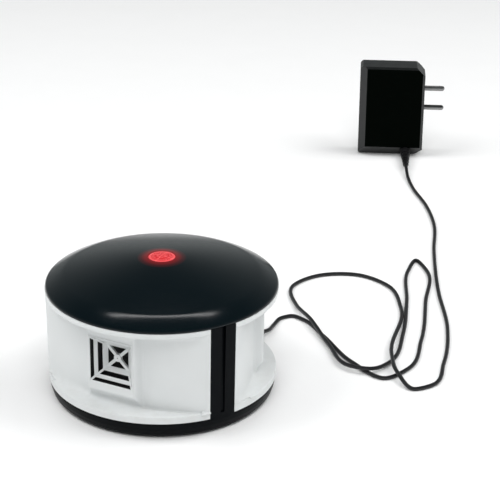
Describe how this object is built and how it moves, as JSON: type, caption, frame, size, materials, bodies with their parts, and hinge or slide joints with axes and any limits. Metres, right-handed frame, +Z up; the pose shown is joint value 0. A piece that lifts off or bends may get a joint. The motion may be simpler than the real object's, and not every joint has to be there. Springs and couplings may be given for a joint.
{
  "type": "ultrasonic pest repeller",
  "caption": "Round tabletop ultrasonic pest repeller with louvred speakers round its side, a domed lid with an indicator light, and a plug-in power adapter on a cord.",
  "frame": {"origin": "centre of the drum's foot plane, on the floor; the cord and its adapter lie free beside it", "axes": "+Z up along the drum's axis, the front speaker faces -Y, the cord leaves at the back right and runs away along +Y"},
  "size_m": [0.2558, 0.6207, 0.1015],
  "materials": {
    "black_plastic": "satin moulded, very fine grain",
    "white_plastic": "smooth semi-gloss moulding",
    "red_lens": "moulded rings, lit from below",
    "led_red": "clear tinted epoxy",
    "foot_rubber": "matt",
    "screw_steel": "zinc plated",
    "dark_plastic": "matt",
    "felt_black": "thin black felt",
    "cone_paper": "black pressed paper",
    "brass": "bright",
    "lead_red": "smooth insulation",
    "board_green": "solder mask",
    "board_tan": "phenolic board",
    "core_iron": "varnished laminations",
    "coil_copper": "enamelled copper wire",
    "capacitor_blue": "printed sleeve without print",
    "resistor_tan": "lacquered",
    "cord_rubber": "smooth flexible vinyl",
    "adapter_plastic": "satin moulded",
    "pin_nickel": "nickel plated"
  },
  "bodies": {
    "root": {"lid": "black_plastic", "lens": "red_lens", "led_holder": "black_plastic", "led": "led_red", "base_frame": "black_plastic", "bottom_plate": "black_plastic", "foot_front": "foot_rubber", "foot_right": "foot_rubber", "foot_left": "foot_rubber", "lid_screws": "screw_steel", "plate_screws": "screw_steel", "panel_front": "white_plastic", "panel_right": "white_plastic", "panel_left": "white_plastic", "grille_front": "white_plastic", "grille_right": "white_plastic", "grille_left": "white_plastic", "felt_front": "felt_black", "felt_right": "felt_black", "felt_left": "felt_black", "speaker_front": "dark_plastic", "speaker_right": "dark_plastic", "speaker_left": "dark_plastic", "cone_front": "cone_paper", "cone_right": "cone_paper", "cone_left": "cone_paper", "piezo_front": "brass", "piezo_right": "brass", "piezo_left": "brass", "speaker_screws": "screw_steel", "speaker_leads": "lead_red", "circuit_board": "board_green", "board_screws": "screw_steel", "driver_transformer": "core_iron", "capacitors": "capacitor_blue", "timer_chip": "dark_plastic", "transistors": "dark_plastic", "resistors": "resistor_tan", "power_socket": "dark_plastic", "power_plug": "cord_rubber", "cord": "cord_rubber", "adapter_relief": "cord_rubber", "adapter_front_shell": "adapter_plastic", "adapter_back_shell": "adapter_plastic", "adapter_pins": "pin_nickel", "adapter_core": "core_iron", "adapter_coil": "coil_copper", "adapter_rectifier": "board_tan", "adapter_screws": "screw_steel"}
  },
  "joints": []
}
